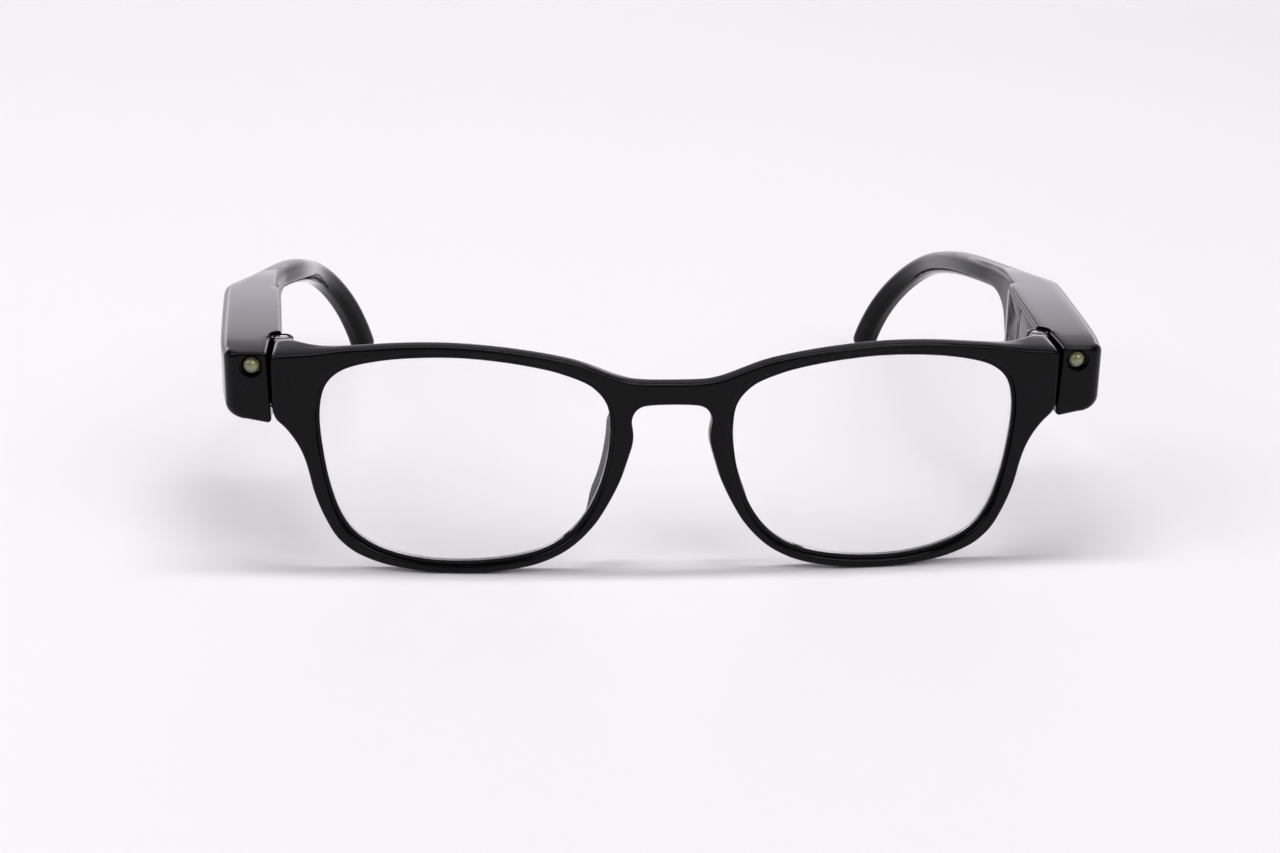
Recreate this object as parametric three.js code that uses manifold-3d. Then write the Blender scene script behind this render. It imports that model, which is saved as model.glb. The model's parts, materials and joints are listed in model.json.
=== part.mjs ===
// Full-rim reading glasses with a lamp and a battery housing in the front of each temple.
// Millimetres, +Z up, the front faces -Y, +X is the wearer's left. The origin is the centre of the
// bounding box at the level of the surface the glasses stand on.
import * as THREE from 'three';
import { mergeVertices } from 'three/addons/utils/BufferGeometryUtils.js';
import Module from 'manifold-3d';

const wasm = await Module();
wasm.setup();

// ---------------------------------------------------------------- driving dimensions
const Y_SHIFT = -66.6;          // moves the front's middle from y = 0 to its place in the row frame
const WRAP = 0.001;             // the front is bowed: y = WRAP * x^2
const RIM_DEPTH = 2.8;          // rim thickness, front to back
const RIM_BEVEL = 0.45;         // rounded edges of the rim
const END_X = 64.3;             // outboard face of the end pieces
const END_BACK_Y = 12.0;        // back face of the end pieces
const LENS_EDGE = 0.55;         // how far the lens reaches into its groove
const GROOVE_GAP = 0.12;        // play around the lens in the groove
const LENS_T_EDGE = 1.3, LENS_T_MID = 2.2, LENS_BOW = 0.95;
const HINGE = { x: 63.0, y: 14.3, r: 1.85, bore: 0.78, relief: 2.2 };
const KNUCKLE_Z = { bottom: [25.9, 29.3], temple: [29.65, 33.1], top: [33.45, 37.1] };
const SCREW = { r: 0.65, headR: 1.2, headH: 0.65, top: 37.02 };
const BOX = { xIn: 65.0, yFront: 4.2, xFront: 64.75 };
// behind the hinge each housing points a little outward: its inner parts are laid out square, with the inner wall
// at x = BOX.xIn, then turned and moved so that the wall passes through SPLAY.x at SPLAY.y
const SPLAY = { x: 63.35, y: 18.0, angle: 4.57 * Math.PI / 180 };
const LED = { x: 67.2, z: 35.0, r: 1.45 };
const CELL = { y: 36.4, z: 31.5, r: 4.7, t: 2.6, pocketR: 4.85 };
const BUTTON = { y: 23.5, z: 31.5, r: 2.0, hole: 2.25, proud: 0.45 };
const ARM_A = 2.05, ARM_TIP_A = 2.45, ARM_B = 2.25; // half width of the ear piece at its root and tip, and half height

const MAT = {
  black: { color: 0x17151a, roughness: 0.16, metalness: 0.0 },
  blackCover: { color: 0x19171c, roughness: 0.24, metalness: 0.0 },
  lens: { color: 0xf3f6f8, roughness: 0.03, metalness: 0.0, transparent: true, opacity: 0.25 },
  steel: { color: 0xc4c1bd, roughness: 0.28, metalness: 1.0 },
  nickel: { color: 0xb9b4a8, roughness: 0.3, metalness: 1.0 },
  cell: { color: 0xcfcdc9, roughness: 0.25, metalness: 1.0 },
  led: { color: 0xdfe2a8, roughness: 0.08, metalness: 0.0 },
  pcb: { color: 0x1d5a34, roughness: 0.5, metalness: 0.0 },
  switchBody: { color: 0x2a2a2c, roughness: 0.5, metalness: 0.0 },
  button: { color: 0x2c2a2f, roughness: 0.45, metalness: 0.0 },
};

// ---------------------------------------------------------------- helpers
const lerp = (a, b, t) => a + (b - a) * t;
const clamp01 = (t) => Math.min(1, Math.max(0, t));
const smooth = (a, b, x) => { const t = clamp01((x - a) / (b - a)); return t * t * (3 - 2 * t); };
function table(rows, x) {
  if (x <= rows[0][0]) return rows[0][1];
  for (let i = 1; i < rows.length; i++) {
    if (x <= rows[i][0]) return lerp(rows[i - 1][1], rows[i][1], (x - rows[i - 1][0]) / (rows[i][0] - rows[i - 1][0]));
  }
  return rows[rows.length - 1][1];
}
function clean(geom) {
  let g = geom.index ? geom : mergeVertices(geom, 1e-4);
  g = g.clone();
  g.deleteAttribute('normal');
  if (g.getAttribute('uv')) g.deleteAttribute('uv');
  return mergeVertices(g, 1e-4);
}
function toSolid(geom) {
  const g = clean(geom);
  return new wasm.Manifold(new wasm.Mesh({
    numProp: 3,
    vertProperties: Float32Array.from(g.getAttribute('position').array),
    triVerts: Uint32Array.from(g.getIndex().array),
  }));
}
function toGeometry(solid) {
  const m = solid.getMesh();
  const g = new THREE.BufferGeometry();
  const n = m.numProp, count = m.vertProperties.length / n;
  const pos = new Float32Array(count * 3);
  for (let i = 0; i < count; i++) for (let k = 0; k < 3; k++) pos[3 * i + k] = m.vertProperties[n * i + k];
  g.setAttribute('position', new THREE.BufferAttribute(pos, 3));
  g.setIndex(new THREE.BufferAttribute(Uint32Array.from(m.triVerts), 1));
  return g;
}
function warp(geom, fn) {
  const p = geom.getAttribute('position'), v = new THREE.Vector3();
  for (let i = 0; i < p.count; i++) { v.fromBufferAttribute(p, i); fn(v); p.setXYZ(i, v.x, v.y, v.z); }
  return geom;
}
// mirror in the plane x = 0, with the windings turned so that faces still point out
function mirrorX(geom) {
  const g = clean(geom);
  warp(g, (v) => { v.x = -v.x; });
  const idx = g.getIndex();
  for (let i = 0; i < idx.count; i += 3) { const a = idx.getX(i + 1); idx.setX(i + 1, idx.getX(i + 2)); idx.setX(i + 2, a); }
  return g;
}
const union = (...s) => s.reduce((a, b) => a.add(b));
const cut = (a, ...s) => s.reduce((r, b) => r.subtract(b), a);

function box(x0, x1, y0, y1, z0, z1) {
  const g = new THREE.BoxGeometry(x1 - x0, y1 - y0, z1 - z0);
  g.translate((x0 + x1) / 2, (y0 + y1) / 2, (z0 + z1) / 2);
  return toSolid(g);
}
// cylinder from a to b along an axis 'x', 'y' or 'z'; (u, v) are the other two coordinates in XYZ order
function cyl(axis, r, a, b, u, v, seg = 24) {
  const g = new THREE.CylinderGeometry(r, r, b - a, seg);
  const m = (a + b) / 2;
  if (axis === 'x') { g.rotateZ(Math.PI / 2); g.translate(m, u, v); }
  if (axis === 'y') g.translate(u, m, v);
  if (axis === 'z') { g.rotateX(Math.PI / 2); g.translate(u, v, m); }
  return toSolid(g);
}
// plate with rounded corners: a rectangle in the YZ plane, extruded along X, with a small edge bevel
function plateX(x0, x1, y0, y1, z0, z1, r, bevel = 0) {
  const s = new THREE.Shape();
  s.moveTo(y0 + r, z0); s.lineTo(y1 - r, z0); s.absarc(y1 - r, z0 + r, r, -Math.PI / 2, 0);
  s.lineTo(y1, z1 - r); s.absarc(y1 - r, z1 - r, r, 0, Math.PI / 2);
  s.lineTo(y0 + r, z1); s.absarc(y0 + r, z1 - r, r, Math.PI / 2, Math.PI);
  s.lineTo(y0, z0 + r); s.absarc(y0 + r, z0 + r, r, Math.PI, 1.5 * Math.PI);
  const g = new THREE.ExtrudeGeometry(s, bevel > 0
    ? { depth: x1 - x0 - 2 * bevel, bevelEnabled: true, bevelSize: bevel, bevelThickness: bevel, bevelOffset: -bevel, bevelSegments: 1, curveSegments: 3 }
    : { depth: x1 - x0, bevelEnabled: false, curveSegments: 3 });
  // shape plane (y, z) and depth along +x
  const q = clean(g);
  warp(q, (v) => { const [a, b, c] = [v.x, v.y, v.z]; v.set(x0 + c + (bevel > 0 ? bevel : 0), a, b); });
  return toSolid(q);
}
function resample(pts, n, closed) {
  const c = new THREE.CatmullRomCurve3(pts.map((p) => new THREE.Vector3(p[0], p[1], 0)), closed, 'centripetal');
  const out = c.getSpacedPoints(n).map((p) => new THREE.Vector2(p.x, p.y));
  if (closed) out.pop();
  return out;
}
function offsetLoop(pts, d) { // pts counter-clockwise; positive d grows the loop
  const n = pts.length, out = [];
  for (let i = 0; i < n; i++) {
    const a = pts[(i + n - 1) % n], b = pts[(i + 1) % n];
    const t = new THREE.Vector2().subVectors(b, a).normalize();
    out.push(new THREE.Vector2(pts[i].x + t.y * d, pts[i].y - t.x * d));
  }
  return out;
}
// extrude a loop drawn in (x, z) along +y from y0 to y1
function extrudeXZ(loop, holes, y0, y1, bevel) {
  const s = new THREE.Shape(loop);
  for (const h of holes) s.holes.push(new THREE.Path(h));
  const g = new THREE.ExtrudeGeometry(s, bevel > 0
    ? { depth: y1 - y0 - 2 * bevel, bevelEnabled: true, bevelSize: bevel, bevelThickness: bevel, bevelOffset: -bevel, bevelSegments: 1, steps: 1 }
    : { depth: y1 - y0, bevelEnabled: false, steps: 1 });
  const q = clean(g);
  // (x, z, depth) to (x, y, z): swapping two axes turns the windings, so the depth is reversed as well
  warp(q, (v) => { const [a, b, c] = [v.x, v.y, v.z]; v.set(a, y1 - (c + (bevel > 0 ? bevel : 0)), b); });
  return q;
}

// ---------------------------------------------------------------- outlines of the front (half, x >= 0)
const TOP_LINE = [[0, 32.9], [4, 32.95], [6, 33.1], [8, 33.55], [10, 34.25], [12, 35.05], [14, 35.8], [16, 36.4], [18, 36.85],
  [20, 37.25], [24, 37.9], [28, 38.4], [32, 38.75], [36, 38.95], [40, 38.95], [44, 38.8], [48, 38.5], [52, 38.15], [56, 37.8],
  [60, 37.5], [END_X - 0.5, 37.2]];
const LOW_LINE = [[END_X - 0.25, 27.2], [63.9, 26.2], [62.4, 24.75], [61.1, 23.1], [60, 21.2], [59.25, 19.3], [58.7, 17.2], [58, 14], [57, 11], [56, 8.75],
  [55, 6.85], [54, 5.5], [52, 3.7], [50, 2.6], [48, 1.8], [46, 1.2], [43, 0.6], [40, 0.22], [37, 0.04], [34, 0.0], [31, 0.08],
  [28, 0.35], [25, 0.82], [22, 1.55], [20, 2.3], [18, 3.3], [16, 4.65], [14, 6.5], [12, 8.9], [11, 10.5], [10, 12.3], [9, 14.3],
  [8, 16.6], [7.2, 19.1], [6.65, 20.9], [6.25, 22.4], [6.1, 23.8], [6.22, 25.0], [6.42, 26.1], [6.3, 27.1], [5.85, 28.0],
  [5.0, 28.7], [3.2, 29.0], [0, 29.1]];
const OPENING = [[57.18, 24.35], [57.2, 28.0], [56.45, 31.6], [55.2, 33.55], [53.36, 34.99], [51.4, 35.8], [49.26, 36.37], [45.41, 37.03], [42.01, 37.36],
  [38.97, 37.51], [36.17, 37.55], [33.5, 37.49], [30.86, 37.29], [28.19, 37.01], [25.37, 36.62], [22.31, 36.08], [18.87, 35.3],
  [15.13, 34.01], [13.2, 33.1], [11.61, 31.82], [10.3, 30.2], [9.61, 28.43], [9.3, 24.51], [9.7, 20.55], [10.49, 16.81], [11.73, 13.27], [13.42, 9.99],
  [15.65, 7.1], [18.42, 4.85], [21.54, 3.39], [24.72, 2.5], [27.75, 1.98], [30.64, 1.66], [33.5, 1.52], [36.38, 1.52], [39.35, 1.72],
  [42.48, 2.2], [45.74, 3.05], [49.05, 4.45], [52.07, 6.73], [54.13, 9.92], [55.37, 13.43], [56.23, 16.97], [56.78, 20.56]];

const topPts = resample(TOP_LINE, 20, false);
const lowPts = resample(LOW_LINE, 56, false);
const rightHalf = [...topPts, new THREE.Vector2(END_X - 0.12, 37.05), new THREE.Vector2(END_X, 36.7), new THREE.Vector2(END_X, 32.5), new THREE.Vector2(END_X, 28.4), ...lowPts];
const outer = [];
for (const p of rightHalf) outer.push(p.clone());
for (let i = rightHalf.length - 2; i > 0; i--) outer.push(new THREE.Vector2(-rightHalf[i].x, rightHalf[i].y));
outer.reverse(); // counter-clockwise seen with x to the right and z up
const openR = resample(OPENING, 40, true);                 // counter-clockwise
const openL = openR.map((p) => new THREE.Vector2(-p.x, p.y)).reverse();

// back of the front: the end pieces grow deeper towards the hinges, and moulded pads swell behind the nose
const END_GROW = [[50, 0], [52, 0.08], [54, 0.4], [55, 0.75], [56, 1.2], [57, 1.75], [58, 2.45], [59, 3.2], [60, 4.1], [60.7, 4.8], [61.3, 5.3], [62, 5.36], [END_X, END_BACK_Y - RIM_DEPTH - WRAP * END_X * END_X]];
function growBack(v) {
  const ax = Math.abs(v.x), sg = Math.sign(v.x);
  if (v.y < RIM_DEPTH - RIM_BEVEL - 0.06) return;
  const end = table(END_GROW, ax) * smooth(14, 22.5, v.z);
  const pad = smooth(7.5, 14, v.z) * (1 - smooth(24.5, 29.5, v.z)) * (1 - smooth(13.5, 18, ax));
  v.y += end + 3.9 * pad;
  v.x += sg * 1.15 * pad;
}
const bow = (v) => { v.y += WRAP * v.x * v.x; };

// ---------------------------------------------------------------- front frame
function lensLoop(grow) { return offsetLoop(openR, grow); }
const grooveY = [0.7, 2.25];
let frameFlat = toSolid(extrudeXZ(outer, [openL, openR], 0, RIM_DEPTH, RIM_BEVEL));
const grooveLoop = lensLoop(LENS_EDGE + GROOVE_GAP);
const grooveR = toSolid(extrudeXZ(grooveLoop, [], grooveY[0], grooveY[1], 0));
const grooveL = toSolid(mirrorX(extrudeXZ(grooveLoop, [], grooveY[0], grooveY[1], 0)));
frameFlat = cut(frameFlat, grooveR, grooveL);
let frame = toSolid(warp(toGeometry(frameFlat), (v) => { growBack(v); bow(v); }));

function sideSolid(side, solid) { return side > 0 ? solid : toSolid(mirrorX(toGeometry(solid))); }

function frontKnuckle([z0, z1]) {
  return union(
    cyl('z', HINGE.r, z0, z1, HINGE.x, HINGE.y, 20),
    box(HINGE.x - HINGE.r + 0.05, HINGE.x + 1.1, END_BACK_Y - 0.8, HINGE.y, z0, z1),
  );
}
for (const side of [1, -1]) {
  const k = union(frontKnuckle(KNUCKLE_Z.top), frontKnuckle(KNUCKLE_Z.bottom));
  const bore = union(
    cyl('z', HINGE.bore, KNUCKLE_Z.bottom[0] + 1.0, KNUCKLE_Z.top[1] + 1, HINGE.x, HINGE.y, 20),
    cyl('z', SCREW.headR + 0.2, SCREW.top - SCREW.headH - 0.12, KNUCKLE_Z.top[1] + 1, HINGE.x, HINGE.y, 18),
  );
  frame = cut(union(frame, sideSolid(side, k)), sideSolid(side, bore));
}

// ---------------------------------------------------------------- lenses: a meniscus in rings, its edge in the rim's groove
function lensGeometry() {
  const edge = lensLoop(LENS_EDGE);
  const c = new THREE.Vector2(33.4, 19.8);
  const rings = [1, 0.8, 0.4];
  const yMid = (grooveY[0] + grooveY[1]) / 2;
  const n = edge.length, pos = [], idx = [];
  const yFront = (q) => yMid - LENS_T_EDGE / 2 - LENS_BOW * (1 - q * q);
  const yBack = (q) => yMid + LENS_T_EDGE / 2 - (LENS_BOW - (LENS_T_MID - LENS_T_EDGE)) * (1 - q * q);
  for (const f of [yFront, yBack]) {
    for (const q of rings) for (const p of edge) pos.push(lerp(c.x, p.x, q), f(q), lerp(c.y, p.y, q));
    pos.push(c.x, f(0), c.y);
  }
  const half = rings.length * n + 1;
  const tri = (a, b, d, flip) => (flip ? idx.push(a, d, b) : idx.push(a, b, d));
  for (const [base, flip] of [[0, false], [half, true]]) {
    for (let r = 0; r + 1 < rings.length; r++) for (let i = 0; i < n; i++) {
      const a = base + r * n + i, b = base + r * n + (i + 1) % n, a2 = a + n, b2 = b + n;
      tri(a, b, b2, flip); tri(a, b2, a2, flip);
    }
    for (let i = 0; i < n; i++) tri(base + (rings.length - 1) * n + i, base + (rings.length - 1) * n + (i + 1) % n, base + half - 1, flip);
  }
  for (let i = 0; i < n; i++) {
    const a = i, b = (i + 1) % n, a2 = half + i, b2 = half + (i + 1) % n;
    idx.push(a, a2, b2, a, b2, b);
  }
  const g = new THREE.BufferGeometry();
  g.setAttribute('position', new THREE.BufferAttribute(Float32Array.from(pos), 3));
  g.setIndex(idx);
  return warp(g, bow);
}

// ---------------------------------------------------------------- temple shell: one lofted moulding, from lamp housing to ear tip
const CORNER_SEG = 3;
function ringPoints(x0, x1, z0i, z0o, z1, r, lean = 0) { // r: radii of bottom-in, bottom-out, top-out, top-in
  const c = [[x0 - lean + r[0], z0i + r[0], r[0], Math.PI, 1.5], [x1 - r[1], z0o + r[1], r[1], 1.5 * Math.PI, 2], [x1 - r[2], z1 - r[2], r[2], 0, 0.5], [x0 + r[3], z1 - r[3], r[3], 0.5 * Math.PI, 1]];
  const out = [];
  for (const [cx, cz, rr, a0] of c) for (let i = 0; i <= CORNER_SEG; i++) {
    const a = a0 + (Math.PI / 2) * (i / CORNER_SEG);
    out.push([cx + rr * Math.cos(a), cz + rr * Math.sin(a)]);
  }
  return out;
}
const wallX = (y) => SPLAY.x + (y - SPLAY.y) * Math.tan(SPLAY.angle); // inner wall of the housing
const X_OUT = [[4.2, 71.3], [6.2, 71.65], [9, 72.2], [13, 72.8], [18, 73.3], [25, 73.9], [45, 75.4], [46.6, 75.1], [48.4, 74.4], [50.2, 73.55], [52, 72.65], [54, 71.8], [56, 71.05], [58, 70.5], [60, 70.05], [62, 69.75]];
const X_IN = [[4.2, 64.75], [13.2, 64.75], [14.4, wallX(14.4)], [44.3, wallX(44.3)], [44.9, 66.25], [51, 66.35], [56, 66.15], [58, 66.0], [60, 65.85], [62, 65.7]];
const LEAN = 0.4;               // the inner wall leans inward towards its lower edge, ahead of the hinge
const Z_LOW = [[4.2, 25.45], [46.3, 25.45], [46.9, 25.7], [47.6, 26.75], [48.2, 28.15], [49.0, 29.65], [50.2, 30.9], [52, 31.8], [54.5, 32.35], [58, 32.7], [62, 32.5]];
const Z_TOP = [[4.2, 37.28], [6.2, 37.34], [9, 37.41], [12, 37.45], [54, 37.5], [58, 37.4], [62, 37.0]];
// centrelines of the ear pieces as (y, x, z); the two are adjusted slightly differently, as on worn-in glasses
const ARM = {
  left: [[57, 68.55, 35.0], [62, 67.75, 34.75], [68.5, 66.7, 34.1], [79.4, 65.9, 32.4], [91.5, 65.7, 29.75], [105.6, 65.7, 25.95], [111.5, 65.35, 24.0],
    [116.9, 64.3, 21.5], [120.5, 63.1, 19.1], [123.3, 61.75, 16.4], [126.7, 59.4, 11.7], [129.0, 57.85, 7.0], [130.6, 56.9, 2.5]],
  right: [[57, 68.5, 35.05], [62, 67.65, 34.8], [68.5, 66.2, 34.05], [74.1, 65.35, 32.9], [82, 64.95, 30.9], [90.8, 64.75, 28.6], [101, 64.7, 25.9], [111.5, 64.25, 22.95],
    [118.3, 62.75, 20.1], [122.4, 60.9, 16.9], [126.1, 58.5, 12.3], [128.5, 56.75, 7.6], [130.6, 55.45, 2.4]],
};

function templeRings(arm) {
  const rings = [];
  // front face with its rounded edges: small on the inner side and top, large on the outer side
  for (const d of [0, 0.12, 0.5, 1.1, 2.0]) {
    const inset = (R) => (d >= R ? 0 : R - Math.sqrt(Math.max(0, R * R - (R - d) * (R - d))));
    const s = inset(0.55), o = inset(2.0), b = inset(0.6);
    const y = BOX.yFront + d;
    rings.push(ringPoints(BOX.xFront + s, table(X_OUT, y) - o, 25.45 + b, 26.15 + b, table(Z_TOP, y) - s, [0.6, 2.4, 1.1, 0.6].map((v) => Math.max(0.35, v - 0.3 * (s + b))), LEAN)
      .map(([x, z]) => new THREE.Vector3(x, y, z)));
  }
  const ys = [9, 13.2, 14.4, 30, 44.2, 44.9, 46.5, 47.2, 47.9, 48.6, 49.6, 51.2, 53.4, 56, 59, 62];
  for (const y of ys) {
    const t = smooth(46, 59, y);
    const x0 = table(X_IN, y), x1 = table(X_OUT, y), z0 = table(Z_LOW, y), z1 = table(Z_TOP, y);
    const tilt = 0.7 * (1 - smooth(44.5, 48.5, y));
    const radii = [lerp(0.6, 1.75, t), lerp(2.7, 1.75, t), lerp(1.4, 1.75, t), lerp(0.6, 1.75, t)];
    const m = Math.min((x1 - x0) / 2, (z1 - z0) / 2) - 0.02;
    rings.push(ringPoints(x0, x1, z0, z0 + tilt, z1, radii.map((r) => Math.min(r, m)), y < 14 ? LEAN : 0).map(([x, z]) => new THREE.Vector3(x, y, z)));
  }
  // the ear piece follows its centreline, its section square to the path
  const curve = new THREE.CatmullRomCurve3(arm.map(([y, x, z]) => new THREE.Vector3(x, y, z)), false, 'centripetal');
  const total = curve.getLength(), u0 = 5.1 / total;
  const N = 13;
  const push = (c, T, a, b) => {
    const U = new THREE.Vector3(T.y, -T.x, 0).normalize();         // outboard, level
    const V = new THREE.Vector3().crossVectors(U, T).normalize();  // up, square to the path
    const r = Math.min(1.75 * Math.min(a / ARM_A, b / ARM_B), Math.min(a, b) - 0.02);
    rings.push(ringPoints(-a, a, -b, -b, b, [r, r, r, r]).map(([p, q]) => c.clone().addScaledVector(U, p).addScaledVector(V, q)));
  };
  for (let i = 1; i <= N; i++) {
    const u = u0 + (1 - u0) * (i / N), c = curve.getPointAt(u), T = curve.getTangentAt(u);
    const w = smooth(0, 0.12, i / N);
    const Tb = new THREE.Vector3(0, 1, 0).lerp(T, w).normalize();
    push(c, Tb, lerp(ARM_A, ARM_TIP_A, smooth(0.35, 0.9, i / N)), lerp(2.2, ARM_B, w));
  }
  const end = curve.getPointAt(1), T = curve.getTangentAt(1);
  for (const [d, k] of [[0.8, 0.95], [1.5, 0.76], [1.95, 0.42]]) push(end.clone().addScaledVector(T, d), T, ARM_TIP_A * k, ARM_B * k);
  // the tip stands on the same surface as the rims
  let low = Infinity;
  for (const r of rings) for (const p of r) low = Math.min(low, p.z);
  for (const r of rings) for (const p of r) p.z -= low * smooth(100, 127, p.y);
  return rings;
}
function loft(rings) {
  const n = rings[0].length, pos = [], idx = [];
  for (const r of rings) for (const p of r) pos.push(p.x, p.y, p.z);
  for (let k = 0; k + 1 < rings.length; k++) for (let i = 0; i < n; i++) {
    const a = k * n + i, b = k * n + (i + 1) % n, a2 = a + n, b2 = b + n;
    idx.push(a, a2, b2, a, b2, b);
  }
  const cap = (k, flip) => {
    const c = pos.length / 3, m = new THREE.Vector3();
    for (const p of rings[k]) m.add(p);
    m.divideScalar(n); pos.push(m.x, m.y, m.z);
    for (let i = 0; i < n; i++) { const a = k * n + i, b = k * n + (i + 1) % n; if (flip) idx.push(c, b, a); else idx.push(c, a, b); }
  };
  cap(0, false); cap(rings.length - 1, true);
  const g = new THREE.BufferGeometry();
  g.setAttribute('position', new THREE.BufferAttribute(Float32Array.from(pos), 3));
  g.setIndex(idx);
  return g;
}

function splay(solid) {
  const c = Math.cos(SPLAY.angle), n = Math.sin(SPLAY.angle);
  return toSolid(warp(toGeometry(solid), (v) => {
    const u = v.x - BOX.xIn, w = v.y - SPLAY.y;
    v.set(SPLAY.x + u * c + w * n, SPLAY.y + w * c - u * n, v.z);
  }));
}

const COVER_X = [65.0, 66.15];      // inner cover and battery door: thickness
const COVER_Y = [17.6, 30.55], DOOR_Y = [30.75, 42.3], COVER_Z = [26.65, 36.35];
const POCKET_X = 66.3;              // inner side of the housing's hollow
function templeShell(arm) {
  let s = toSolid(loft(templeRings(arm)));
  // hinge knuckle on the inner wall, and clearance for the front's knuckles
  s = cut(s, cyl('z', HINGE.relief, 24, 40, HINGE.x, HINGE.y, 24));
  s = union(s, cyl('z', HINGE.r, ...KNUCKLE_Z.temple, HINGE.x, HINGE.y, 20),
    box(HINGE.x, BOX.xIn + 0.9, HINGE.y - 1.45, HINGE.y + 1.45, ...KNUCKLE_Z.temple));
  s = cut(s, cyl('z', HINGE.bore, KNUCKLE_Z.temple[0] - 1, KNUCKLE_Z.temple[1] + 1, HINGE.x, HINGE.y, 20));
  // lamp bore through the front wall, with a wider mouth
  s = cut(s, cyl('y', 1.85, 3, 5.0, LED.x, LED.z, 20), cyl('y', LED.r + 0.2, 4, 11, LED.x, LED.z, 20));
  // hollow behind the lamp, hollow for the circuit board, round pocket for the cells, and the recess for cover and door
  s = cut(s,
    box(66.35, 70.9, 7.4, 18.6, 27.3, 35.9),
    splay(box(POCKET_X, 72.3, 17.9, 30.2, 27.3, 35.9)),
    splay(box(70.0, 72.9, 25.0, 34.0, 29.6, 33.4)),
    splay(box(66.9, 70.1, 29.9, 32.6, 29.6, 33.4)),
    splay(cyl('x', CELL.pocketR, POCKET_X - 0.2, 72.95, CELL.y, CELL.z, 28)),
    splay(plateX(BOX.xIn - 1, POCKET_X, COVER_Y[0] - 0.15, DOOR_Y[1] + 0.15, COVER_Z[0] - 0.15, COVER_Z[1] + 0.15, 0.7)),
  );
  // boss for the cover's screw, and the hole for the door's screw
  s = union(s, splay(cyl('x', 1.0, POCKET_X, 73.0, 28.3, 28.5, 12)));
  s = cut(s, splay(cyl('x', 0.55, POCKET_X - 0.2, 70.4, 28.3, 28.5, 10)), splay(cyl('x', 0.55, POCKET_X - 0.2, 70.0, 41.1, 27.85, 10)));
  return s;
}
function screwX(y, z) { // head in the cover's face, shank into the shell, a cross slot in the head
  const s = union(cyl('x', 0.85, BOX.xIn + 0.08, BOX.xIn + 0.6, y, z, 14), cyl('x', 0.42, BOX.xIn + 0.5, 69.4, y, z, 8));
  return cut(s, box(BOX.xIn - 1, BOX.xIn + 0.28, y - 0.55, y + 0.55, z - 0.1, z + 0.1), box(BOX.xIn - 1, BOX.xIn + 0.28, y - 0.1, y + 0.1, z - 0.55, z + 0.55));
}
const screwHole = (y, z) => [cyl('x', 0.98, BOX.xIn - 1, BOX.xIn + 0.68, y, z, 16), cyl('x', 0.58, BOX.xIn - 1, 67, y, z, 10)];

const pieces = {
  temple_shell: (tag) => [templeShell(ARM[tag]), 'black'],
  inner_cover: () => [cut(plateX(...COVER_X, ...COVER_Y, ...COVER_Z, 0.55), cyl('x', BUTTON.hole, 64, 67, BUTTON.y, BUTTON.z, 20), ...screwHole(28.3, 28.5)), 'blackCover'],
  battery_door: () => [cut(plateX(...COVER_X, ...DOOR_Y, ...COVER_Z, 0.55), ...screwHole(41.1, 27.85)), 'blackCover'],
  cover_screw: () => [screwX(28.3, 28.5), 'steel'],
  battery_door_screw: () => [screwX(41.1, 27.85), 'steel'],
  lamp: () => {
    const prof = [[0, 3.95], [0.5, 4.03], [0.95, 4.3], [1.28, 4.75], [LED.r, 5.35], [LED.r, 8.9], [1.58, 8.95], [1.58, 9.5], [0, 9.5]].map(([r, y]) => new THREE.Vector2(r, -y));
    const g = new THREE.LatheGeometry(prof.reverse(), 16); // axis +Y of the lathe, nose towards -Y
    const q = clean(g); warp(q, (v) => { v.y = -v.y; v.z = -v.z; }); q.translate(LED.x, 0, LED.z);
    const lead = (z) => union(box(LED.x - 0.2, LED.x + 0.2, 9.4, 13.4, z - 0.2, z + 0.2), box(LED.x - 0.2, LED.x + 0.55, 13.0, 13.4, z - 0.2, z + 0.2));
    return [union(toSolid(q), lead(LED.z + 0.62), lead(LED.z - 0.62)), 'led'];
  },
  circuit_board: () => [union(plateX(70.0, 70.8, 12.6, 26.6, 27.6, 35.7, 0.5), box(70.7, 71.4, 14.2, 15.8, 29.4, 30.4), box(70.7, 71.5, 17.5, 20.5, 32, 34.4)), 'pcb'],
  switch_body: () => [union(plateX(68.15, 69.85, BUTTON.y - 2.4, BUTTON.y + 2.4, BUTTON.z - 2.4, BUTTON.z + 2.4, 0.4), cyl('x', 1.1, 67.75, 68.3, BUTTON.y, BUTTON.z, 20)), 'switchBody'],
  switch_button: () => {
    const prof = [[0, 0], [1.45, 0.0], [1.82, 0.12], [BUTTON.r, 0.38], [BUTTON.r, 1.35], [1.2, 1.35], [1.2, 2.55], [0, 2.55]].map(([r, x]) => new THREE.Vector2(r, x));
    const q = clean(new THREE.LatheGeometry(prof, 18));
    warp(q, (v) => { const [a, b, c] = [v.x, v.y, v.z]; v.set(b, c, a); });
    q.translate(BOX.xIn - BUTTON.proud, BUTTON.y, BUTTON.z);
    return [toSolid(q), 'button'];
  },
  coin_cell_inner: () => [cellSolid(66.85), 'cell'],
  coin_cell_outer: () => [cellSolid(66.85 + CELL.t + 0.1), 'cell'],
  contact_negative: () => [union(box(72.3, 72.55, 26.0, 39.0, 30.2, 32.8), box(70.95, 72.55, 25.6, 25.9, 30.7, 32.3), box(72.3, 72.55, 25.6, 26.2, 30.7, 32.3)), 'nickel'],
  contact_positive: () => [union(box(67.2, 69.85, 30.9, 31.15, 30.0, 33.0), box(69.6, 69.85, 26.1, 31.1, 30.7, 32.3)), 'nickel'],
};
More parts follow.
